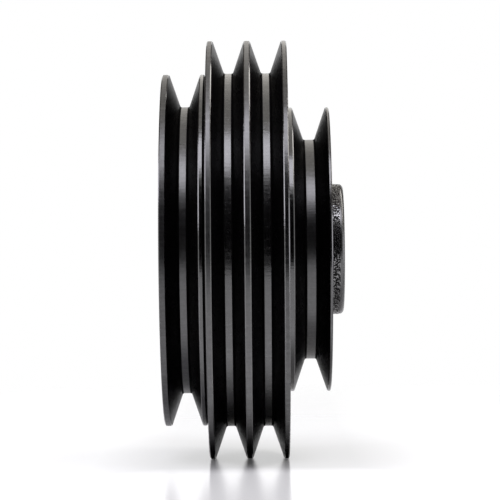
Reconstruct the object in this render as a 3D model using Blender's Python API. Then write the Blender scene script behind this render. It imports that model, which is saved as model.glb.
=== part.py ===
"""A crankshaft pulley for three belt drives: one iron casting, turned all over its rim.

Lengths are in metres. The crankshaft's axis is +Z. The pulley stands on the end face of its first
flange, at Z = 0, with the boss of the hub pointing up. Its section is one closed outline of corners,
each with its own rounding, which is spun round the axis; the keyway and the puller holes are cut after.
"""

import math

import bmesh
import bpy
from mathutils import Matrix, Vector

MM = 0.001

# Belt grooves, for belts 13 mm wide at the top
GROOVE_DEPTH = 13.9 * MM
GROOVE_ANGLE = math.radians(38.0)
GROOVE_WIDTH = 13.4 * MM
SMALL_GROOVE_WIDTH = 14.3 * MM
GROOVE_SPACING = 15.88 * MM
ROOT_FILLET = 0.8 * MM

# Flanges, from the resting face up
LARGE_DIAMETER = 179.0 * MM
MIDDLE_DIAMETER = 150.6 * MM
SMALL_DIAMETER = 121.8 * MM
FIRST_LAND = 2.7 * MM
SECOND_LAND = 1.7 * MM
THIRD_LAND = 2.35 * MM
FIFTH_LAND = 2.15 * MM
SIXTH_LAND = 2.25 * MM
LAST_LAND = 1.3 * MM
EDGE_BREAK = 0.4 * MM
STEP_FILLET = 0.4 * MM

# Relief groove between the middle and the large diameter
RELIEF_WIDTH = 1.25 * MM
RELIEF_DEPTH = 0.9 * MM
RELIEF_FILLET = 0.4 * MM

# Cast body
RIM_WALL = 6.5 * MM
WEB_THICKNESS = 11.0 * MM
TOP_RECESS_DEPTH = 9.5 * MM
DRAFT = math.radians(1.5)
CAVITY_FILLET = 5.0 * MM
TOP_RECESS_FILLET = 2.0 * MM
MOUTH_CHAMFER = 1.2 * MM

# Hub
HUB_DIAMETER = 56.0 * MM
HUB_PROJECTION = 6.0 * MM
HUB_SETBACK = 6.0 * MM
HUB_CORNER = 2.0 * MM
HUB_BASE_BREAK = 1.0 * MM
BORE_DIAMETER = 32.0 * MM
BORE_CHAMFER = 1.0 * MM
KEYWAY_WIDTH = 8.0 * MM
KEYWAY_DEPTH = 3.3 * MM

# Puller holes, drilled through the web at the tapping size of an 8 mm thread
PULLER_HOLES = 3
PULLER_HOLE_DIAMETER = 6.8 * MM

# How finely round forms are cut into flats, and the sharpest corner that is shaded smooth
SPIN_STEPS = 48
HOLE_SIDES = 16
FILLET_FLATS = 3
SMOOTH_ANGLE = math.radians(28.0)

# The share of a wall that the rounding at its end may take up
ROUNDING_SHARE = 0.45

# How far a cutter runs past the faces it cuts, and how near points must be to be one
OVERRUN = 2.0 * MM
MERGE_DISTANCE = 0.001 * MM

large_r = LARGE_DIAMETER / 2
middle_r = MIDDLE_DIAMETER / 2
small_r = SMALL_DIAMETER / 2
hub_r = HUB_DIAMETER / 2
bore_r = BORE_DIAMETER / 2
cavity_r = middle_r - GROOVE_DEPTH - RIM_WALL
top_recess_r = small_r - GROOVE_DEPTH - RIM_WALL

first_groove_z = FIRST_LAND
second_land_end_z = first_groove_z + GROOVE_WIDTH + SECOND_LAND
large_start_z = second_land_end_z + RELIEF_WIDTH
second_groove_z = large_start_z + THIRD_LAND
third_groove_z = second_groove_z + GROOVE_SPACING
large_end_z = third_groove_z + GROOVE_WIDTH + FIFTH_LAND
last_groove_z = large_end_z + SIXTH_LAND
rim_end_z = last_groove_z + SMALL_GROOVE_WIDTH + LAST_LAND
hub_end_z = rim_end_z + HUB_PROJECTION
web_top_z = rim_end_z - TOP_RECESS_DEPTH
web_bottom_z = web_top_z - WEB_THICKNESS


def groove(start_z, width, tip_r):
    """The four corners of a V-groove, from its lower lip to its upper lip, as (radius, z, rounding, flats)."""
    run = GROOVE_DEPTH * math.tan(GROOVE_ANGLE / 2)
    root_r = tip_r - GROOVE_DEPTH
    return [
        (tip_r, start_z, EDGE_BREAK, 1),
        (root_r, start_z + run, ROOT_FILLET, 1),
        (root_r, start_z + width - run, ROOT_FILLET, 1),
        (tip_r, start_z + width, EDGE_BREAK, 1),
    ]


def drafted(r, height, inward):
    """The radius that a cast wall has at this height from its mouth, where draft leans it in or out."""
    lean = height * math.tan(DRAFT)
    return r - lean if inward else r + lean


def outside():
    """Corners of the turned outside, from the resting face up to the rim's upper end face."""
    corners = [(middle_r, 0.0, EDGE_BREAK, 1)]
    corners += groove(first_groove_z, GROOVE_WIDTH, middle_r)
    corners += [
        (middle_r, second_land_end_z, EDGE_BREAK / 2, 1),
        (middle_r - RELIEF_DEPTH, second_land_end_z, RELIEF_FILLET, 1),
        (middle_r - RELIEF_DEPTH, large_start_z, RELIEF_FILLET, 1),
        (large_r, large_start_z, EDGE_BREAK, 1),
    ]
    corners += groove(second_groove_z, GROOVE_WIDTH, large_r)
    corners += groove(third_groove_z, GROOVE_WIDTH, large_r)
    corners += [
        (large_r, large_end_z, EDGE_BREAK, 1),
        (small_r, large_end_z, STEP_FILLET, 1),
    ]
    corners += groove(last_groove_z, SMALL_GROOVE_WIDTH, small_r)
    corners += [(small_r, rim_end_z, EDGE_BREAK, 1)]
    return corners


def upper_side():
    """Corners of the shallow recess round the boss, and of the boss up to its end face."""
    return [
        (top_recess_r, rim_end_z, MOUTH_CHAMFER, 1),
        (drafted(top_recess_r, TOP_RECESS_DEPTH, True), web_top_z, TOP_RECESS_FILLET, FILLET_FLATS),
        (drafted(hub_r, TOP_RECESS_DEPTH, False), web_top_z, TOP_RECESS_FILLET, FILLET_FLATS),
        (drafted(hub_r, -HUB_PROJECTION, False), hub_end_z, HUB_CORNER, FILLET_FLATS),
    ]


def bore():
    """Corners of the bore, with a chamfer at each mouth."""
    return [
        (bore_r + BORE_CHAMFER, hub_end_z, 0.0, 0),
        (bore_r, hub_end_z - BORE_CHAMFER, 0.0, 0),
        (bore_r, HUB_SETBACK + BORE_CHAMFER, 0.0, 0),
        (bore_r + BORE_CHAMFER, HUB_SETBACK, 0.0, 0),
    ]


def lower_side():
    """Corners of the hub inside the deep cavity, of the web and of the cavity's wall down to its mouth."""
    hub_base_r = drafted(hub_r, HUB_SETBACK - web_bottom_z, False)
    return [
        (hub_base_r, HUB_SETBACK, HUB_BASE_BREAK, 1),
        (hub_r, web_bottom_z, CAVITY_FILLET, FILLET_FLATS),
        (drafted(cavity_r, web_bottom_z, True), web_bottom_z, CAVITY_FILLET, FILLET_FLATS),
        (cavity_r, 0.0, MOUTH_CHAMFER, 1),
    ]


def round_corner(before, corner, after, radius, flats):
    """Points of an arc that touches both sides of a corner, kept clear of the next corners."""
    to_before = (before - corner).normalized()
    to_after = (after - corner).normalized()
    half = to_before.angle(to_after) / 2
    room = ROUNDING_SHARE * min((before - corner).length, (after - corner).length)
    reach = min(radius / math.tan(half), room)
    radius = reach * math.tan(half)
    centre = corner + (to_before + to_after).normalized() * (radius / math.sin(half))
    start = corner + to_before * reach - centre
    turn = start.angle_signed(corner + to_after * reach - centre)
    points = []
    for step in range(flats + 1):
        # Vector.angle_signed turns clockwise, and so does the rotation here
        angle = -turn * step / flats
        points.append(centre + Matrix.Rotation(angle, 2) @ start)
    return points


def section():
    """The closed outline as points (radius, z), in order round the metal."""
    corners = outside() + upper_side() + bore() + lower_side()
    spots = [Vector((r, z)) for r, z, _, _ in corners]
    points = []
    for i, (_, _, radius, flats) in enumerate(corners):
        if flats == 0:
            points.append(spots[i])
            continue
        following = spots[(i + 1) % len(spots)]
        points += round_corner(spots[i - 1], spots[i], following, radius, flats)
    return points


def spun_body(name):
    """The section spun a full turn round the axis into a closed mesh."""
    bm = bmesh.new()
    ring = [bm.verts.new((p.x, 0.0, p.y)) for p in section()]
    edges = [bm.edges.new((ring[i - 1], ring[i])) for i in range(len(ring))]
    bmesh.ops.spin(
        bm,
        geom=ring + edges,
        cent=(0.0, 0.0, 0.0),
        axis=(0.0, 0.0, 1.0),
        angle=math.tau,
        steps=SPIN_STEPS,
        use_merge=True,
    )
    bmesh.ops.remove_doubles(bm, verts=bm.verts, dist=MERGE_DISTANCE)
    bmesh.ops.recalc_face_normals(bm, faces=bm.faces)
    mesh = bpy.data.meshes.new(name)
    bm.to_mesh(mesh)
    bm.free()
    mesh.shade_smooth()
    mesh.set_sharp_from_angle(angle=SMOOTH_ANGLE)
    return add_object(name, mesh)


def add_object(name, mesh):
    """A scene object that shows this mesh."""
    made = bpy.data.objects.new(name, mesh)
    bpy.context.scene.collection.objects.link(made)
    return made


def keyway_cutter():
    """A bar that cuts the keyway along the whole bore, on the +Y side."""
    bm = bmesh.new()
    bmesh.ops.create_cube(bm, size=1.0)
    top = bore_r + KEYWAY_DEPTH
    length = hub_end_z - HUB_SETBACK + 2 * OVERRUN
    bmesh.ops.scale(bm, vec=(KEYWAY_WIDTH, top, length), verts=bm.verts)
    middle = Vector((0.0, top / 2, (hub_end_z + HUB_SETBACK) / 2))
    bmesh.ops.translate(bm, vec=middle, verts=bm.verts)
    mesh = bpy.data.meshes.new("keyway_cutter")
    bm.to_mesh(mesh)
    bm.free()
    return add_object("keyway_cutter", mesh)


def puller_hole_cutter():
    """Drills for the puller holes, halfway between the hub and the wall of the upper recess."""
    hub_side = drafted(hub_r, TOP_RECESS_DEPTH, False)
    wall_side = drafted(top_recess_r, TOP_RECESS_DEPTH, True)
    circle_r = (hub_side + wall_side) / 2
    bm = bmesh.new()
    for i in range(PULLER_HOLES):
        angle = math.tau * i / PULLER_HOLES - math.pi / 2
        spot = Vector((circle_r * math.cos(angle), circle_r * math.sin(angle), (web_top_z + web_bottom_z) / 2))
        bmesh.ops.create_cone(
            bm,
            cap_ends=True,
            segments=HOLE_SIDES,
            radius1=PULLER_HOLE_DIAMETER / 2,
            radius2=PULLER_HOLE_DIAMETER / 2,
            depth=WEB_THICKNESS + 2 * OVERRUN,
            matrix=Matrix.Translation(spot),
        )
    mesh = bpy.data.meshes.new("puller_hole_cutter")
    bm.to_mesh(mesh)
    bm.free()
    return add_object("puller_hole_cutter", mesh)


def cut(body, cutter):
    """Takes a cutter's shape out of the body and keeps the cutter as an outline only."""
    cutter.hide_render = True
    cutter.display_type = "WIRE"
    modifier = body.modifiers.new(cutter.name, "BOOLEAN")
    modifier.operation = "DIFFERENCE"
    modifier.object = cutter


def black_coat():
    """Satin black coating over iron."""
    material = bpy.data.materials.new("black_coat")
    material.use_nodes = True
    shader = material.node_tree.nodes["Principled BSDF"]
    shader.inputs["Base Color"].default_value = (0.012, 0.012, 0.013, 1.0)
    shader.inputs["Roughness"].default_value = 0.32
    shader.inputs["Metallic"].default_value = 0.0
    return material


def clear_scene():
    """Removes whatever the file opened with."""
    for old in list(bpy.data.objects):
        bpy.data.objects.remove(old, do_unlink=True)


def build():
    clear_scene()
    pulley = spun_body("crankshaft_pulley")
    pulley.data.materials.append(black_coat())
    cut(pulley, keyway_cutter())
    cut(pulley, puller_hole_cutter())


build()
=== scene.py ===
# %% [markdown]
# # A crankshaft pulley
# The real pulley is one iron casting. Its rim is turned on a lathe into four V-shaped belt grooves on three
# diameters, then everything is coated black. In the picture it lies on its large rims, while the packed
# model stands on its flat side, so the camera is turned instead of the pulley. This lesson spins the
# pulley from its own section, roughens the cast skin, cuts the threaded holes, and then coats, lights and
# looks at it.

import math

import bpy
import numpy as np
from mathutils import Matrix, Vector


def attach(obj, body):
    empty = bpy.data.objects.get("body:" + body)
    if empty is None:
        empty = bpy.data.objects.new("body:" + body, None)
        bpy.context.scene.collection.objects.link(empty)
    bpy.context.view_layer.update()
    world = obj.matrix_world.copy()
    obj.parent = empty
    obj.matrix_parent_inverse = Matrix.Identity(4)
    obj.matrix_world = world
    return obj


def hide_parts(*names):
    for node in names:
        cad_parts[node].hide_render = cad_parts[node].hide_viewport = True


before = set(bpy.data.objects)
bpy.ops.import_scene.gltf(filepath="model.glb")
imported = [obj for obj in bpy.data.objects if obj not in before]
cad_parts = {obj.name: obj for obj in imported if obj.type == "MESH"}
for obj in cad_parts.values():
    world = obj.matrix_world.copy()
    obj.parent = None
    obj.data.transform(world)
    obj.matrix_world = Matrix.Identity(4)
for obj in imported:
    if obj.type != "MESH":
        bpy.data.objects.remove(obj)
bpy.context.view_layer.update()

# %% [markdown]
# ## Sizes
# A turned part is drawn as a section: the half outline on one side of the axis. Every land, groove and step
# has a size of its own, in metres, and the places along the axis follow by adding them up. The axis is +Z.

# %% Sizes of the pulley
MM = 0.001

GROOVE_DEPTH = 13.9 * MM
GROOVE_ANGLE = math.radians(38.0)
GROOVE_WIDTH = 13.4 * MM
SMALL_GROOVE_WIDTH = 14.3 * MM
GROOVE_SPACING = 15.88 * MM
LARGE_R = 89.5 * MM
MIDDLE_R = 75.3 * MM
SMALL_R = 60.9 * MM
CAVITY_R = 54.9 * MM
RECESS_R = 40.5 * MM
HUB_R = 28.0 * MM
BORE_R = 16.0 * MM
HUB_PROJECTION = 6.0 * MM
HUB_SETBACK = 6.0 * MM
BORE_CHAMFER = 1.0 * MM
KEYWAY_WIDTH = 8.0 * MM
KEYWAY_DEPTH = 3.3 * MM
WEB_THICKNESS = 11.0 * MM
RECESS_DEPTH = 9.5 * MM
DRAFT = math.radians(1.5)
FIRST_LAND = 2.7 * MM
SECOND_LAND = 1.7 * MM
THIRD_LAND = 2.35 * MM
FIFTH_LAND = 2.15 * MM
SIXTH_LAND = 2.25 * MM
LAST_LAND = 1.3 * MM
RELIEF_WIDTH = 1.25 * MM
RELIEF_DEPTH = 0.9 * MM
EDGE_BREAK = 0.4 * MM
ROOT_FILLET = 0.8 * MM
RELIEF_FILLET = 0.4 * MM
STEP_FILLET = 0.4 * MM
MOUTH_CHAMFER = 1.2 * MM
RECESS_FILLET = 2.0 * MM
CAVITY_FILLET = 5.0 * MM
HUB_CORNER = 2.0 * MM
HUB_BASE_BREAK = 1.0 * MM
BORE_EDGE = 0.1 * MM

first_groove_z = FIRST_LAND
second_land_end_z = first_groove_z + GROOVE_WIDTH + SECOND_LAND
large_start_z = second_land_end_z + RELIEF_WIDTH
second_groove_z = large_start_z + THIRD_LAND
third_groove_z = second_groove_z + GROOVE_SPACING
large_end_z = third_groove_z + GROOVE_WIDTH + FIFTH_LAND
last_groove_z = large_end_z + SIXTH_LAND
rim_end_z = last_groove_z + SMALL_GROOVE_WIDTH + LAST_LAND
hub_end_z = rim_end_z + HUB_PROJECTION
web_top_z = rim_end_z - RECESS_DEPTH
web_bottom_z = web_top_z - WEB_THICKNESS
print("places along the axis in mm:", [round(1000 * z, 2) for z in (large_start_z, large_end_z, rim_end_z)])

# %% [markdown]
# ## The section
# A lathe tool leaves every land, root and wall with its own finish, and a file breaks the sharp edges into
# narrow chamfers, which catch the light as thin bright lines. So each corner says how it is rounded or
# chamfered and which finish the face after it has. A finish is a coat, a roughness and a cast skin.

# %% Finishes
GLOSSY, MIDDLE, DULL, CAST = 0, 1, 2, 3
FINISHES = {
    "bored": (GLOSSY, 0.26, 0.0),
    "wall": (DULL, 0.30, 0.0),
    "root": (GLOSSY, 0.24, 0.0),
    "outer_root": (GLOSSY, 0.32, 0.0),
    "root_corner": (DULL, 0.60, 0.0),
    "edge": (GLOSSY, 0.14, 0.0),
    "first_land": (MIDDLE, 0.34, 0.0),
    "second_land": (GLOSSY, 0.18, 0.0),
    "third_land": (GLOSSY, 0.39, 0.0),
    "fourth_land": (GLOSSY, 0.33, 0.0),
    "fifth_land": (MIDDLE, 0.23, 0.0),
    "sixth_land": (GLOSSY, 0.14, 0.0),
    "last_land": (GLOSSY, 0.22, 0.0),
    "cast": (CAST, 0.40, 0.7),
    "boss": (CAST, 0.40, 1.0),
}
finish_names = list(FINISHES)
print("finishes:", finish_names)

# %% Corners of the turned rim
def corner(r, z, rounding, flats, face="wall", turn="wall"):
    """One corner: radius, place, its rounding cut into flats, and the finishes of the face after it and
    of the rounding itself."""
    return (r, z, rounding, flats, finish_names.index(face), finish_names.index(turn))


def v_groove(start_z, width, tip_r, next_land, root="root"):
    """The four corners of a belt groove. Its walls lean by half the groove's angle, so over the
    depth each wall runs in by depth times the tangent of that half angle."""
    run = GROOVE_DEPTH * math.tan(GROOVE_ANGLE / 2)
    root_r = tip_r - GROOVE_DEPTH
    return [
        corner(tip_r, start_z, EDGE_BREAK, 1, "wall", "edge"),
        corner(root_r, start_z + run, ROOT_FILLET, 5, root, "root_corner"),
        corner(root_r, start_z + width - run, ROOT_FILLET, 5, "wall", "root_corner"),
        corner(tip_r, start_z + width, EDGE_BREAK, 1, next_land, "edge"),
    ]


def leaning(r, height, inward):
    """Radius of a cast wall at a height from its mouth: the radius, less or more height times tan(draft)."""
    lean = height * math.tan(DRAFT)
    return r - lean if inward else r + lean


turned = [corner(MIDDLE_R, 0.0, EDGE_BREAK, 1, "first_land", "edge")]
turned += v_groove(first_groove_z, GROOVE_WIDTH, MIDDLE_R, "second_land", "outer_root")
turned += [
    corner(MIDDLE_R, second_land_end_z, EDGE_BREAK / 2, 1, "wall", "edge"),
    corner(MIDDLE_R - RELIEF_DEPTH, second_land_end_z, RELIEF_FILLET, 3),
    corner(MIDDLE_R - RELIEF_DEPTH, large_start_z, RELIEF_FILLET, 3),
    corner(LARGE_R, large_start_z, EDGE_BREAK, 1, "third_land", "edge"),
]
turned += v_groove(second_groove_z, GROOVE_WIDTH, LARGE_R, "fourth_land")
turned += v_groove(third_groove_z, GROOVE_WIDTH, LARGE_R, "fifth_land")
turned += [
    corner(LARGE_R, large_end_z, EDGE_BREAK, 1, "wall", "edge"),
    corner(SMALL_R, large_end_z, STEP_FILLET, 3, "sixth_land"),
]
turned += v_groove(last_groove_z, SMALL_GROOVE_WIDTH, SMALL_R, "last_land", "outer_root")
turned += [corner(SMALL_R, rim_end_z, EDGE_BREAK, 1, "wall", "edge")]
print("turned corners:", len(turned))

# %% Corners of the cast sides and the bore
recess_foot_r = leaning(RECESS_R, rim_end_z - web_top_z, True)
hub_foot_r = leaning(HUB_R, rim_end_z - web_top_z, False)
upper = [
    corner(RECESS_R, rim_end_z, MOUTH_CHAMFER, 1, "cast", "edge"),
    corner(recess_foot_r, web_top_z, RECESS_FILLET, 5, "cast", "cast"),
    corner(hub_foot_r, web_top_z, RECESS_FILLET, 5, "boss", "boss"),
    corner(leaning(HUB_R, rim_end_z - hub_end_z, False), hub_end_z, HUB_CORNER, 6, "bored", "bored"),
]
bore = [
    corner(BORE_R + BORE_CHAMFER, hub_end_z, BORE_EDGE, 1, "edge", "edge"),
    corner(BORE_R, hub_end_z - BORE_CHAMFER, BORE_EDGE, 1, "bored", "edge"),
    corner(BORE_R, HUB_SETBACK + BORE_CHAMFER, BORE_EDGE, 1, "edge", "edge"),
    corner(BORE_R + BORE_CHAMFER, HUB_SETBACK, BORE_EDGE, 1, "bored", "edge"),
]
hub_base_r = leaning(HUB_R, web_bottom_z - HUB_SETBACK, True)
lower = [
    corner(hub_base_r, HUB_SETBACK, HUB_BASE_BREAK, 3, "cast", "cast"),
    corner(HUB_R, web_bottom_z, CAVITY_FILLET, 7, "cast", "cast"),
    corner(leaning(CAVITY_R, web_bottom_z, True), web_bottom_z, CAVITY_FILLET, 7, "cast", "cast"),
    corner(CAVITY_R, 0.0, MOUTH_CHAMFER, 1, "wall", "edge"),
]
corners = turned + upper + bore + lower
print("corners in all:", len(corners))

# %% [markdown]
# ## Rounding the corners
# An arc that touches both sides of a corner starts at a reach of radius divided by the tangent of half the
# corner's angle. It is worked out with plain vectors. Long cast faces also get steps in between, because
# their skin is moved point by point later and needs points to move.

# %% Round the corners and fill long faces
ROUNDING_SHARE = 0.45
SKIN_STEP = 0.45 * MM
WEB_STEP = 0.9 * MM
CAVITY_STEP = 2.5 * MM


def rounded(before, spot, after, radius, flats):
    """Points on the arc that touches both sides of a corner: centre plus radius times the unit vectors
    that turn evenly from the first touching point to the second."""
    to_before = (before - spot) / np.linalg.norm(before - spot)
    to_after = (after - spot) / np.linalg.norm(after - spot)
    half = math.acos(np.clip(to_before @ to_after, -1, 1)) / 2
    room = ROUNDING_SHARE * min(np.linalg.norm(before - spot), np.linalg.norm(after - spot))
    reach = min(radius / math.tan(half), room)
    middle = to_before + to_after
    centre = spot + middle / np.linalg.norm(middle) * reach / math.cos(half)
    start = spot + to_before * reach - centre
    end = spot + to_after * reach - centre
    turn = math.atan2(start[0] * end[1] - start[1] * end[0], start @ end)
    angles = turn * np.linspace(0, 1, flats + 1)
    across = np.array([-start[1], start[0]])
    return centre + np.outer(np.cos(angles), start) + np.outer(np.sin(angles), across)


spots = np.array([place[:2] for place in corners])
arcs, kinds = [], []
for i, (_, _, radius, flats, face, turn) in enumerate(corners):
    arcs.append(rounded(spots[i - 1], spots[i], spots[(i + 1) % len(spots)], radius, flats))
    kinds += [turn] * flats + [face]
section, kinds = np.vstack(arcs), np.array(kinds)
following = np.roll(section, -1, axis=0)
gaps = np.linalg.norm(following - section, axis=1)
skins = np.array([FINISHES[name][2] for name in finish_names])
steps = np.where(kinds == finish_names.index("boss"), SKIN_STEP, WEB_STEP)
steps = np.where(section[:, 1] < web_bottom_z + MM, CAVITY_STEP, steps)
counts = np.where(skins[kinds] > 0, np.ceil(gaps / steps), 1).astype(int)
index = np.repeat(np.arange(len(section)), counts)
offset = np.arange(len(index)) - np.repeat(np.cumsum(counts) - counts, counts)
share = (offset / counts[index])[:, None]
section, kinds = (1 - share) * section[index] + share * following[index], kinds[index]
print("points round the section:", len(section))

# %% [markdown]
# ## Spinning it
# The section is carried round the axis: one parameter runs along it, the other is the angle. The keyway
# needs no cutting: where the bore's wall would be nearer the axis than the keyway's three flat sides, it
# is pushed out to them. Extra angles are added exactly at the keyway's edges so that they stay crisp.

# %% Spin the section, keyway included
TURN_STEPS = 360


def keyway_radius(angle):
    """Distance from the axis to the keyway's sides: the floor's height over the cosine of the angle from
    +Y, and past the floor's corner half the width over its sine."""
    lean = np.abs((angle - math.pi / 2 + math.pi) % math.tau - math.pi)
    floor_y = BORE_R + KEYWAY_DEPTH
    corner_lean = math.atan(KEYWAY_WIDTH / 2 / floor_y)
    to_floor = floor_y / np.cos(np.minimum(lean, corner_lean))
    to_side = KEYWAY_WIDTH / 2 / np.sin(np.maximum(lean, corner_lean))
    return np.where(lean < corner_lean, to_floor, np.where(lean < math.pi / 2, to_side, 0.0))


edge_leans = np.array([
    math.atan(KEYWAY_WIDTH / 2 / (BORE_R + KEYWAY_DEPTH)),
    math.asin(KEYWAY_WIDTH / 2 / (BORE_R + BORE_CHAMFER)),
    math.asin(KEYWAY_WIDTH / 2 / BORE_R),
])
even = np.arange(TURN_STEPS) * math.tau / TURN_STEPS
angles = np.union1d(even, math.pi / 2 + np.concatenate([edge_leans, -edge_leans]))
radius = np.maximum(section[:, :1], keyway_radius(angles)[None, :])
points = np.stack([
    radius * np.cos(angles),
    radius * np.sin(angles),
    np.broadcast_to(section[:, 1:2], radius.shape),
], axis=-1)
print("grid:", points.shape[:2])

# %% [markdown]
# ## Cast skin
# Sand leaves a pebbled skin on iron where no tool has cut it: on the boss, in both recesses and on the web.
# It is modelled by moving points along the section's normal by layered noise. Each corner of a lattice has
# a random height, and the heights are blended between them, so the skin has no seam round the axis.

# %% Noise and the cast skin
SKIN_CELLS = ((1.9 * MM, 0.06 * MM), (0.9 * MM, 0.08 * MM))
LATTICE = 64


def lattice_noise(where, cell, seed):
    """Value noise from -1 to 1: random heights at the eight lattice corners round a point, blended by
    3t squared minus 2t cubed along each axis."""
    heights = np.random.default_rng(seed).uniform(-1, 1, (LATTICE, LATTICE, LATTICE))
    low = np.floor(where / cell).astype(int)
    t = where / cell - low
    t = t * t * (3 - 2 * t)
    total = np.zeros(where.shape[:-1])
    for step in np.ndindex(2, 2, 2):
        i, j, k = np.moveaxis((low + step) % LATTICE, -1, 0)
        total += heights[i, j, k] * np.prod(np.where(step, t, 1 - t), axis=-1)
    return total


tangent = np.roll(section, -1, axis=0) - np.roll(section, 1, axis=0)
tangent /= np.linalg.norm(tangent, axis=1, keepdims=True)
normal_r, normal_z = tangent[:, 1:2], -tangent[:, 0:1]
height = sum(size * lattice_noise(points, cell, seed) for seed, (cell, size) in enumerate(SKIN_CELLS, 1))
strength = skins[kinds]
height *= np.minimum(strength, np.roll(strength, 1))[:, None]
points[..., 0] += height * normal_r * np.cos(angles)
points[..., 1] += height * normal_r * np.sin(angles)
points[..., 2] += height * normal_z
print("cast skin moves points by up to", round(1000 * float(np.abs(height).max()), 3), "mm")

# %% Make the mesh
def grid_faces(row_count, column_count, closed=True):
    """Quads of a grid whose columns go round, and whose rows go round too where it is closed. Point j of
    row i has the number i times the columns plus j, and the order makes the quads face outwards."""
    last = row_count if closed else row_count - 1
    i, j = np.meshgrid(np.arange(last), np.arange(column_count), indexing="ij")
    up, on = (i + 1) % row_count * column_count, (j + 1) % column_count
    here = i * column_count
    return np.stack([here + j, here + on, up + on, up + j]).reshape(4, -1).T.tolist()


def new_piece(name, vertices, faces):
    """An object at the origin with this mesh."""
    mesh = bpy.data.meshes.new(name)
    mesh.from_pydata(vertices.tolist(), [], faces)
    made = bpy.data.objects.new(name, mesh)
    bpy.context.scene.collection.objects.link(made)
    return made


def face_values(mesh, name, values):
    """Stores one number for each face of a mesh."""
    layer = mesh.attributes.new(name, "FLOAT", "FACE")
    layer.data.foreach_set("value", np.ascontiguousarray(values, dtype=np.float32))


pulley = new_piece("pulley", points.reshape(-1, 3), grid_faces(*points.shape[:2]))
table = np.array([FINISHES[name] for name in finish_names])
face_finish = np.repeat(table[kinds], len(angles), axis=0)
face_values(pulley.data, "finish", face_finish[:, 1])
for name in ("glossy_coat", "middle_coat", "dull_coat", "cast_coat"):
    pulley.data.materials.append(bpy.data.materials.new(name))
pulley.data.polygons.foreach_set("material_index", face_finish[:, 0].astype(np.int32))
print("pulley faces:", len(pulley.data.polygons))

# %% [markdown]
# ## Threaded puller holes
# Three holes through the web take the screws of a puller. A tap cuts their thread, so the cutter here is a
# tap too: its radius goes up and down once in each turn of the helix. It is taken out of the pulley with an
# exact Boolean, whose result is kept as the mesh.

# %% Cut the puller holes
THREAD_PITCH = 1.25 * MM
THREAD_LOW_R = 3.4 * MM
THREAD_HIGH_R = 3.95 * MM
CREST_SLOPE = 1.4
CREST_START = 0.2
HOLE_COUNT = 3
HOLE_CHAMFER = 0.8 * MM
TAP_OVERRUN = 1.5 * MM
hole_circle_r = (hub_foot_r + recess_foot_r) / 2


def tap(centre, turn_points=24, pitch_points=8):
    """A closed threaded rod: radius is the low radius plus the thread's height times a blunt triangle
    wave of height over pitch minus turn, opened by a cone at both mouths of the hole."""
    low, high = web_bottom_z - TAP_OVERRUN, web_top_z + TAP_OVERRUN
    z = np.arange(low, high, THREAD_PITCH / pitch_points)[:, None]
    turn = np.arange(turn_points)[None, :] / turn_points
    wave = np.abs(((z / THREAD_PITCH - turn) % 1) * 2 - 1)
    thread = THREAD_LOW_R + (THREAD_HIGH_R - THREAD_LOW_R) * np.clip(CREST_SLOPE * wave - CREST_START, 0, 1)
    mouth = np.maximum(z - web_top_z, web_bottom_z - z) + HOLE_CHAMFER
    r = np.maximum(thread, THREAD_LOW_R + np.clip(mouth, 0, 2 * HOLE_CHAMFER))
    ring = np.stack([
        centre[0] + r * np.cos(math.tau * turn),
        centre[1] + r * np.sin(math.tau * turn),
        np.broadcast_to(z, r.shape),
    ], axis=-1).reshape(-1, 3)
    ends = [list(range(turn_points))[::-1], list(range(len(ring) - turn_points, len(ring)))]
    return ring, grid_faces(len(z), turn_points, closed=False) + ends


all_rings, all_faces = [], []
for i in range(HOLE_COUNT):
    turn = math.tau * i / HOLE_COUNT - math.pi / 2
    ring, faces = tap((hole_circle_r * math.cos(turn), hole_circle_r * math.sin(turn)))
    first = sum(len(r) for r in all_rings)
    all_faces += [[first + v for v in face] for face in faces]
    all_rings.append(ring)
taps = new_piece("puller_taps", np.vstack(all_rings), all_faces)
cut = pulley.modifiers.new("puller_holes", "BOOLEAN")
cut.operation = "DIFFERENCE"
cut.solver = "EXACT"
cut.object = taps
bpy.context.view_layer.update()
cut_mesh = bpy.data.meshes.new_from_object(pulley.evaluated_get(bpy.context.evaluated_depsgraph_get()))
pulley.modifiers.remove(cut)
pulley.data = cut_mesh
bpy.data.objects.remove(taps)
print("faces with the holes cut:", len(cut_mesh.polygons))

# %% [markdown]
# ## Shading
# Flat turned faces should look flat right up to their roundings. The Weighted Normal modifier does that: at
# each point the big faces decide the normal. Corners sharper than a lathe's rounding stay sharp.

# %% Shade it
SMOOTH_ANGLE = math.radians(34)

pulley.data.shade_smooth()
pulley.data.set_sharp_from_angle(angle=SMOOTH_ANGLE)
weigh = pulley.modifiers.new("weighted_normals", "WEIGHTED_NORMAL")
weigh.mode = "FACE_AREA"
weigh.keep_sharp = True
box = np.array(pulley.bound_box) / MM
print("pulley box in mm:", np.round(box.min(0), 2), np.round(box.max(0), 2))
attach(pulley, "root")
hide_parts("crankshaft_pulley")

# %% [markdown]
# ## Writing materials as sums
# A material is a graph of nodes. Written out one by one it is hard to read, so a small class wraps a
# socket and turns sums, differences and products into Math nodes, and one method adds any other node.

# %% Sockets that can be added and multiplied
class Nodes:
    """Adds nodes to one tree."""

    def __init__(self, tree):
        self.tree = tree

    def add(self, kind, settings=None, inputs=None, output=0):
        """A node of this type with its settings made first, then the values or links of its sockets."""
        made = self.tree.nodes.new(kind)
        for name, value in (settings or {}).items():
            setattr(made, name, value)
        for name, value in (inputs or {}).items():
            self.connect(value, made.inputs[name])
        return Signal(self, made.outputs[output]) if made.outputs else made

    def connect(self, value, socket):
        """Links a signal to a socket, or sets the socket to a plain value."""
        if isinstance(value, Signal):
            self.tree.links.new(value.socket, socket)
        else:
            socket.default_value = value


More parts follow.
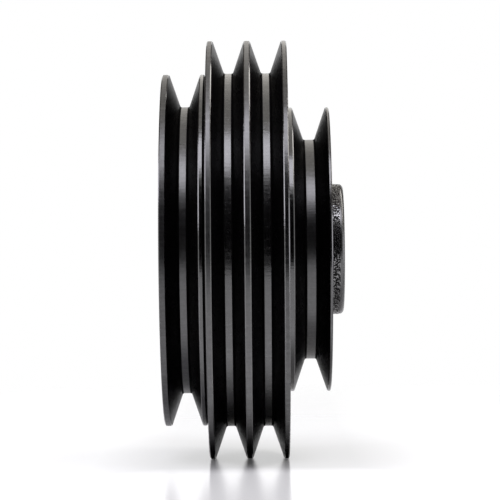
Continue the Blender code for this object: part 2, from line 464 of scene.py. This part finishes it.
class Signal:
    """An output socket that can stand in a sum."""

    def __init__(self, nodes, socket):
        self.nodes = nodes
        self.socket = socket

    def maths(self, operation, first, second):
        """A Math node on two values, of which at least one is a signal."""
        return self.nodes.add("ShaderNodeMath", {"operation": operation}, {0: first, 1: second})

    def out(self, name):
        """Another output of the same node."""
        return Signal(self.nodes, self.socket.node.outputs[name])

    def __add__(self, other):
        return self.maths("ADD", self, other)

    def __sub__(self, other):
        return self.maths("SUBTRACT", self, other)

    def __rsub__(self, other):
        return self.maths("SUBTRACT", other, self)

    def __mul__(self, other):
        return self.maths("MULTIPLY", self, other)

    __radd__ = __add__
    __rmul__ = __mul__

    def clamped(self, low=0.0, high=1.0):
        """The signal, kept between two limits."""
        return self.nodes.add("ShaderNodeClamp", {}, {"Value": self, "Min": low, "Max": high})

    def or_more(self, other):
        """The larger of the signal and another value."""
        return self.maths("MAXIMUM", self, other)


def dress(material, roughness, ior):
    """Gives a material nodes with plain numbers on its Principled shader, and returns that shader and
    the Nodes that add to it."""
    material.use_nodes = True
    shader = material.node_tree.nodes["Principled BSDF"]
    shader.inputs["Roughness"].default_value = roughness
    shader.inputs["IOR"].default_value = ior
    return shader, Nodes(material.node_tree)


def noise(nodes, spot, scale, detail):
    """Smooth random values around 0.5 at a place, with this many waves to the metre."""
    return nodes.add("ShaderNodeTexNoise", {}, {"Vector": spot, "Scale": scale, "Detail": detail})


def emboss(nodes, shader, relief):
    """Tilts a shader's normal as a relief in millimetres would."""
    bump = nodes.add("ShaderNodeBump", {}, {"Distance": MM, "Height": relief})
    nodes.connect(bump, shader.inputs["Normal"])


# %% [markdown]
# ## The black coat
# The coat is a thin satin black paint over the turned iron. Four things show in it: the fine rings that
# the tool left under the paint, the marks across them where the tool chattered, a slight orange peel of the
# paint itself, and a roughness that differs from land to land. Rings are noise that depends on the distance
# from the axis and the height along it, but hardly on the angle. Chatter marks depend mostly on the angle.
# A relief strong enough to show as grit would also show as lumps, so the grit is made another way: a thin
# layer of gloss on top, whose weight follows the peel and the marks. Broad faint patches are a little
# paler, as with dust. The lands mirror more than the groove walls, where the spray lands steeply and stays
# dull, so the turned faces have three coats.

# %% Black coats of the turned faces
COAT_COLOUR = (0.0016, 0.0014, 0.0016, 1.0)
DUST_COLOUR = (0.0036, 0.0032, 0.0030, 1.0)
COATS = {"glossy_coat": (1.84, 1.1), "middle_coat": (1.68, 1.1), "dull_coat": (1.12, 0.0)}
RING_SCALE = 3600.0
RING_DRIFT = 0.0006
RING_HEIGHT = 0.008
RING_SPREAD = 0.08
PEEL_SCALE = 900.0
PEEL_HEIGHT = 0.012
PEEL_SPREAD = 0.12
MARK_SCALE = 1100.0
MARK_ALONG = 0.15
MARK_ROUND = 0.08
MARK_HEIGHT = 0.030
MARK_SPREAD = 0.12
PATCH_SCALE = 60.0
PATCH_SPREAD = 0.06
DUST_START = 0.45
DUST_STEEPNESS = 1.6
DUST_MOST = 0.5
GLOSS_ROUGHNESS = 0.3
GLOSS_IOR = 1.5
GLOSS_START = 0.8
ROUGH_LOW = 0.08
ROUGH_HIGH = 0.8


def black_coat(material, ior, grit):
    """Paint over turned rings, chatter marks and orange peel, added up as one relief in millimetres. The
    gloss layer's weight is grit times the amount by which peel plus marks pass a start."""
    shader, nodes = dress(material, GLOSS_ROUGHNESS, ior)
    spot = nodes.add("ShaderNodeTexCoord", output="Object")
    parts = nodes.add("ShaderNodeSeparateXYZ", {}, {0: spot})
    x, y, z = parts.out("X"), parts.out("Y"), parts.out("Z")
    r = nodes.add("ShaderNodeMath", {"operation": "SQRT"}, {0: x * x + y * y})
    turn = nodes.add("ShaderNodeMath", {"operation": "ARCTAN2"}, {0: y, 1: x})
    finish = nodes.add("ShaderNodeAttribute", {"attribute_name": "finish"}, output="Fac")
    ring_spot = nodes.add("ShaderNodeCombineXYZ", {}, {"X": r, "Y": z, "Z": turn * RING_DRIFT})
    mark_spot = nodes.add("ShaderNodeCombineXYZ", {}, {"X": r, "Y": z * MARK_ALONG, "Z": turn * MARK_ROUND})
    rings = noise(nodes, ring_spot, RING_SCALE, 2.0)
    peel = noise(nodes, spot, PEEL_SCALE, 2.0)
    marks = noise(nodes, mark_spot, MARK_SCALE, 1.0)
    patch = noise(nodes, spot, PATCH_SCALE, 3.0)
    emboss(nodes, shader, rings * RING_HEIGHT + peel * PEEL_HEIGHT + marks * MARK_HEIGHT)
    rough = finish + (peel - 0.5) * PEEL_SPREAD + (marks - 0.5) * MARK_SPREAD
    rough = rough + (rings - 0.5) * RING_SPREAD + (patch - 0.5) * PATCH_SPREAD
    nodes.connect(rough.clamped(ROUGH_LOW, ROUGH_HIGH), shader.inputs["Roughness"])
    shader.inputs["Coat Roughness"].default_value = GLOSS_ROUGHNESS
    shader.inputs["Coat IOR"].default_value = GLOSS_IOR
    nodes.connect(((peel + marks - GLOSS_START) * grit).clamped(), shader.inputs["Coat Weight"])
    dusty = ((patch - DUST_START) * DUST_STEEPNESS).clamped() * DUST_MOST
    mixing = {"Factor": dusty, 6: COAT_COLOUR, 7: DUST_COLOUR}
    tint = nodes.add("ShaderNodeMix", {"data_type": "RGBA"}, mixing, output=2)
    nodes.connect(tint, shader.inputs["Base Color"])


for name, (ior, grit) in COATS.items():
    black_coat(bpy.data.materials[name], ior, grit)
print("coats:", list(COATS))

# %% [markdown]
# ## The cast coat
# On the cast skin the same paint lies over grains of sand. It stays thick and glossy on their tops and
# thin and dull between them, so the skin sparkles in dark and bright specks. The paint below mirrors only
# weakly. The shader's clear coat layer is the strong gloss, and its weight follows the grains.

# %% Black coat of the cast skin
GRAIN_SCALE = 1600.0
GRAIN_HEIGHT = 0.5
GRAIN_START = 0.525
GRAIN_STEEPNESS = 22
PIT_SCALE = 1500.0
PIT_HEIGHT = 0.1
SKIN_ROUGHNESS = 0.22
SKIN_IOR = 1.25
TOP_ROUGHNESS = 0.18
TOP_IOR = 2.3


def cast_coat(material):
    """Dull paint with a glossy layer whose weight rises steeply from the valleys to the tops of grains:
    steepness times the amount by which the grain's height passes a start."""
    shader, nodes = dress(material, SKIN_ROUGHNESS, SKIN_IOR)
    shader.inputs["Coat Roughness"].default_value = TOP_ROUGHNESS
    shader.inputs["Coat IOR"].default_value = TOP_IOR
    shader.inputs["Base Color"].default_value = COAT_COLOUR
    spot = nodes.add("ShaderNodeTexCoord", output="Object")
    grain = noise(nodes, spot, GRAIN_SCALE, 1.0)
    pits = nodes.add("ShaderNodeTexVoronoi", {}, {"Vector": spot, "Scale": PIT_SCALE})
    emboss(nodes, shader, grain * GRAIN_HEIGHT + pits * PIT_HEIGHT)
    nodes.connect(((grain - GRAIN_START) * GRAIN_STEEPNESS).clamped(), shader.inputs["Coat Weight"])


cast_coat(bpy.data.materials["cast_coat"])
print("cast coat grains per mm:", GRAIN_SCALE * MM)

# %% [markdown]
# ## Camera
# The photograph looks straight at the side of the pulley from about 1.13 m, with a long lens. The axis lies
# level, so the picture's right is +Z and its top is -X, and the whole picture is turned by half a degree.
# The point straight ahead of the lens, square to the axis, isn't quite the picture's middle.

# %% Camera
FOCAL_PX = 2629.3
IMAGE_PX = 500
SENSOR_MM = 36.0
CAMERA_DISTANCE = 1.1306
AIM_Z = 40.02 * MM
AHEAD_PX = (257.76, 249.6)
ROLL = math.radians(-0.507)

right = Vector((-math.sin(ROLL), 0.0, math.cos(ROLL)))
down = Vector((math.cos(ROLL), 0.0, math.sin(ROLL)))
ahead = Vector((0.0, 1.0, 0.0))
ahead += right * ((IMAGE_PX / 2 - AHEAD_PX[0]) / FOCAL_PX) + down * ((IMAGE_PX / 2 - AHEAD_PX[1]) / FOCAL_PX)
ahead.normalize()
right = (right - ahead * right.dot(ahead)).normalized()
up = right.cross(ahead)
camera_data = bpy.data.cameras.new("camera")
camera_data.sensor_width = SENSOR_MM
camera_data.lens = FOCAL_PX * SENSOR_MM / IMAGE_PX
camera_data.clip_start = 0.01
camera_data.clip_end = 50.0
camera = bpy.data.objects.new("camera", camera_data)
bpy.context.scene.collection.objects.link(camera)
place = Matrix((right, up, -ahead)).transposed().to_4x4()
place.translation = Vector((0.0, -CAMERA_DISTANCE, AIM_Z))
camera.matrix_world = place
bpy.context.scene.camera = camera
print("lens in mm:", round(camera_data.lens, 1))

# %% [markdown]
# ## Floor
# The pulley lies with its large rims on a white table, which is the plane just below them in the picture.
# The table keeps a soft shadow and a faint reflection of the rims. To the camera it also glows, less in a
# patch beside and behind the pulley's foot, which deepens the shadow there as painted shadow, so that it is
# as white as the background outside it. In the pulley's reflections it glows more in front of the pulley,
# which is painted light, and its colour is painted dark near where they touch, as painted shade for the
# gap under a round rim. It ends a little in front of the pulley, as a table does, and fades out far off. To
# the camera it is clear outside the picture's view too, and seen from behind it is all clear, so it hides
# nothing from any side.

# %% Floor
FLOOR_GAP = 0.15 * MM
FLOOR_FRONT = -0.42
FLOOR_BACK = 3.0
FLOOR_SIDE = 2.0
FADE_START = 0.12
FADE_LENGTH = 0.5
CLEAR_SIDE = 0.2
CLEAR_FRONT = -0.2
CLEAR_SOFT = 0.1
TABLE_WHITE = 0.74
TABLE_ROUGHNESS = 0.17
TABLE_IOR = 1.45
SHADOW_GLOW = 0.05
OPEN_GLOW = 0.13
SHADOW_SIDE = 0.04
SHADOW_FRONT = 0.05
SHADOW_SOFT = 0.03
MIRROR_GLOW = 0.55
MIRROR_FRONT = 0.035
CONTACT_REACH = 0.011
CONTACT_DARK = 1.0

floor_x = LARGE_R + FLOOR_GAP
floor_points = np.array([
    (floor_x, FLOOR_FRONT, -FLOOR_SIDE),
    (floor_x, FLOOR_BACK, -FLOOR_SIDE),
    (floor_x, FLOOR_BACK, FLOOR_SIDE),
    (floor_x, FLOOR_FRONT, FLOOR_SIDE),
])
floor = new_piece("floor", floor_points, [(0, 3, 2, 1)])
paint = bpy.data.materials.new("white_table")
table_shader, nodes = dress(paint, TABLE_ROUGHNESS, TABLE_IOR)
path = nodes.add("ShaderNodeLightPath", output="Is Camera Ray")
spot = nodes.add("ShaderNodeTexCoord", output="Object")
parts = nodes.add("ShaderNodeSeparateXYZ", {}, {0: spot})
along, across = parts.out("Y"), parts.out("Z") - AIM_Z
aside = nodes.add("ShaderNodeMath", {"operation": "ABSOLUTE"}, {0: across})
# Inside a patch beside and behind the pulley's foot the glow to the camera is weaker: painted shadow, added
# to the real one.
beside = (aside - SHADOW_SIDE) * (1 / SHADOW_SOFT)
before = (-SHADOW_FRONT - along) * (1 / SHADOW_SOFT)
outside_painted_shadow = beside.or_more(before).clamped()
# Mirrored rays see the table glow more in front of the pulley: painted light in the pulley's reflections.
in_front = (-MIRROR_FRONT - along) * (1 / MIRROR_FRONT)
mirrored = path.out("Is Glossy Ray")
strength = path * (outside_painted_shadow * OPEN_GLOW + SHADOW_GLOW) + mirrored * in_front.clamped() * MIRROR_GLOW
# Mirrored rays that travel only a short way see the table painted darker: painted shade in the gap under the
# rims.
painted_contact_shade = (2 - path.out("Ray Length") * (1 / CONTACT_REACH)).clamped()
nodes.connect((1 - mirrored * painted_contact_shade * CONTACT_DARK) * TABLE_WHITE, table_shader.inputs["Base Color"])
glow = nodes.add("ShaderNodeEmission", {}, {"Color": (1, 1, 1, 1), "Strength": strength})
both = nodes.add("ShaderNodeAddShader", {}, {0: Signal(nodes, table_shader.outputs["BSDF"]), 1: glow})
clear = nodes.add("ShaderNodeBsdfTransparent")
behind = nodes.add("ShaderNodeNewGeometry", output="Backfacing")
far = ((along - FADE_START) * (1 / FADE_LENGTH)).clamped()
outside = (aside - CLEAR_SIDE).or_more(CLEAR_FRONT - along)
outside = (path * outside * (1 / CLEAR_SOFT)).clamped()
hidden = behind.or_more(far.or_more(outside))
mixed = nodes.add("ShaderNodeMixShader", {}, {"Fac": hidden, 1: both, 2: clear})
nodes.connect(mixed, paint.node_tree.nodes["Material Output"].inputs["Surface"])
floor.data.materials.append(paint)
facing_x = floor.data.polygons[0].normal.x
print("floor at x in mm:", round(floor_x / MM, 2), "facing x:", round(facing_x))

# %% [markdown]
# ## Light
# Glossy black shows its surroundings more than its own colour. A long softbox above and in front gives the
# band of light across each land. The camera's side is a dark card, which keeps the middle of the pulley
# black. Above and behind stand two dim warm cards, with a brighter pale strip between them and a pale band
# below, which shade the upper ends of the lands and roots. The white surroundings draw the bright outline
# at the top and bottom, and smaller softboxes at the sides light the thin chamfers of the edges.

# %% World
SKY_FILL = 0.4
SKY_SEEN = 0.6

world = bpy.data.worlds.new("world")
bpy.context.scene.world = world
world.use_nodes = True
nodes = Nodes(world.node_tree)
sky = world.node_tree.nodes["Background"]
path = nodes.add("ShaderNodeLightPath", output="Is Camera Ray")
seen = path.or_more(path.out("Is Glossy Ray")).or_more(path.out("Is Transmission Ray"))
sky.inputs["Color"].default_value = (1.0, 1.0, 1.0, 1.0)
nodes.connect(seen * SKY_SEEN + SKY_FILL, sky.inputs["Strength"])
print("sky strength as seen and mirrored:", SKY_SEEN + SKY_FILL, "and as fill:", SKY_FILL)

# %% Cards and lamps
def facing(rise, aside, reach, roll=0.0):
    """Turn and place for something that faces the pulley from a direction that rises from the camera's
    side towards the picture's top, then swings aside towards +Z, at a reach from the pulley. The roll
    turns it about that direction."""
    away = Vector((
        -math.sin(rise) * math.cos(aside),
        -math.cos(rise) * math.cos(aside),
        math.sin(aside),
    ))
    wide = Matrix.Rotation(roll, 3, away) @ Vector((0.0, 0.0, 1.0)).cross(away).normalized()
    turned_to = Matrix((wide, away.cross(wide), away)).transposed().to_4x4()
    turned_to.translation = away * reach + Vector((0.0, 0.0, AIM_Z))
    return turned_to


def card(name, rise, aside, reach, wide, high, glow, colour=(1, 1, 1, 1)):
    """A plain card that only reflections see. Its width follows the rise and its height follows the axis."""
    flat = np.array([(-wide, -high), (wide, -high), (wide, high), (-wide, high)]) / 2
    turned_to = np.array(facing(math.radians(rise), math.radians(aside), reach))
    placed = np.hstack([flat, np.zeros((4, 1)), np.ones((4, 1))]) @ turned_to.T
    made = new_piece(name, placed[:, :3], [(0, 1, 2, 3)])
    material = bpy.data.materials.new(name)
    shader, _ = dress(material, 1.0, 1.0)
    shader.inputs["Base Color"].default_value = (0, 0, 0, 1)
    shader.inputs["Specular IOR Level"].default_value = 0.0
    shader.inputs["Emission Color"].default_value = colour
    shader.inputs["Emission Strength"].default_value = glow
    made.data.materials.append(material)
    made.visible_camera = False
    made.visible_diffuse = False
    made.visible_shadow = False


def softbox(name, rise, aside, reach, wide, high, radiance, colour, roll=0):
    """An area lamp whose power is radiance times pi times its area, as a flat glowing panel gives off."""
    data = bpy.data.lights.new(name, "AREA")
    data.shape = "RECTANGLE"
    data.size, data.size_y = wide, high
    data.energy = radiance * math.pi * wide * high
    data.color = colour
    lamp = bpy.data.objects.new(name, data)
    bpy.context.scene.collection.objects.link(lamp)
    lamp.matrix_world = facing(math.radians(rise), math.radians(aside), reach, math.radians(roll))
    lamp.visible_camera = False
    print(name, "power in W:", round(data.energy, 1))


# %% Set the light
COOL = (0.92, 0.90, 1.0)
PLAIN = (1.0, 0.96, 0.92)
WARM = (1.0, 0.90, 0.81, 1.0)
PALE = (1.0, 0.96, 0.90, 1.0)
card("dark_side", 14, 0, 1.0, 1.15, 2.2, 0.0)
card("rear_left", 133.5, -38, 1.2, 1.3, 1.875, 0.12, WARM)
card("rear_right", 133.5, 38, 1.2, 1.3, 1.875, 0.12, WARM)
card("rear_middle", 135, 0, 1.1, 1.04, 0.22, 1.1, PALE)
card("rear_low", 94, 0, 1.2, 0.60, 3.5, 0.9, PALE)
softbox("key", 63.0, 0, 0.9, 0.4, 1.5, 4.0, COOL)
softbox("left_fill", 74, -63, 1.2, 0.85, 0.5, 3.8, COOL)
softbox("right_fill", 113.5, 41.8, 0.85, 0.22, 0.87, 4.3, PLAIN, -28)
softbox("right_low", 90, 85, 1.2, 0.5, 0.4, 1.8, COOL)

# %% Look and finish
bpy.context.scene.view_settings.view_transform = "Standard"
